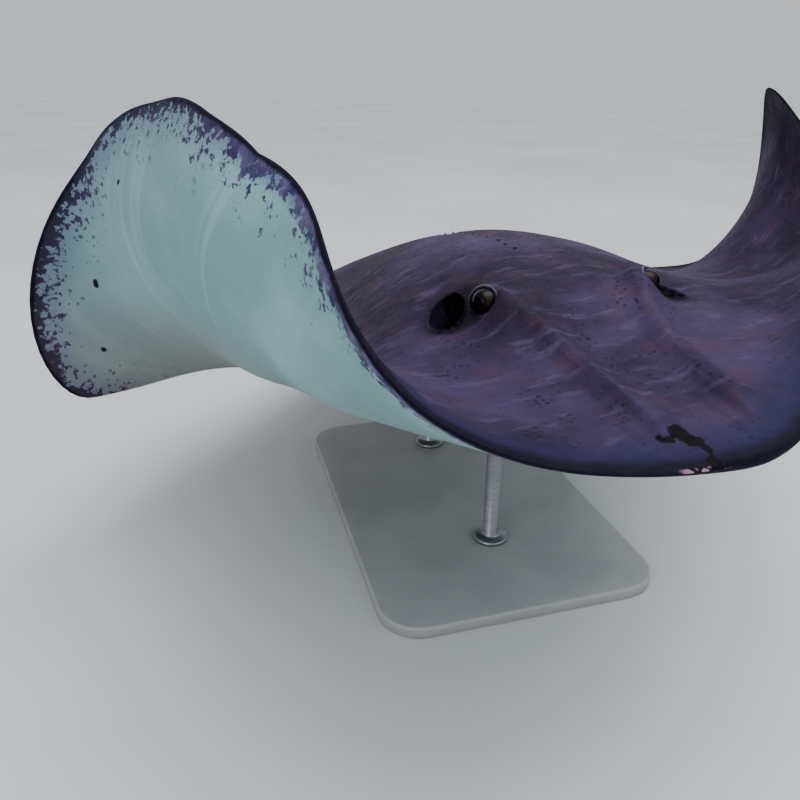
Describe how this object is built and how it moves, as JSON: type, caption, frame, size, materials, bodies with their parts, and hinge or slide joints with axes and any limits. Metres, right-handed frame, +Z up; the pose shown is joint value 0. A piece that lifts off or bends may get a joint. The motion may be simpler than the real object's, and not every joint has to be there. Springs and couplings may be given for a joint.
{
  "type": "southern stingray display model",
  "caption": "Life-size stingray swimming with its wings raised, with eyes, pelvic fins and a long tail with a sting, held on a flat stand by rods.",
  "frame": {"origin": "middle of the whole model's footprint, at the underside of the stand's base", "axes": "+Z up, the ray heads along -Y with its tail towards +Y, and its left side is +X"},
  "size_m": [0.8302, 2.1418, 0.4471],
  "materials": {
    "skin": "smooth wet skin, slate purple above, pale grey green below with a dark mottled margin",
    "eye": "polished dark eye with a brown iris",
    "spine": "dull bone coloured spine with fine barbs",
    "stand": "satin grey powder-coated base plate",
    "stand_rod": "fine brushed steel"
  },
  "bodies": {
    "root": {"head": "skin", "trunk": "skin", "fin_pectoral_right": "skin", "fin_pectoral_left": "skin", "fin_pelvic_right": "skin", "fin_pelvic_left": "skin", "tail_base": "skin", "tail_middle": "skin", "tail_end": "skin", "eye_right": "eye", "eye_left": "eye", "sting_spine": "spine", "stand_base": "stand", "stand_rod_front": "stand_rod", "stand_rod_rear": "stand_rod"}
  },
  "joints": []
}
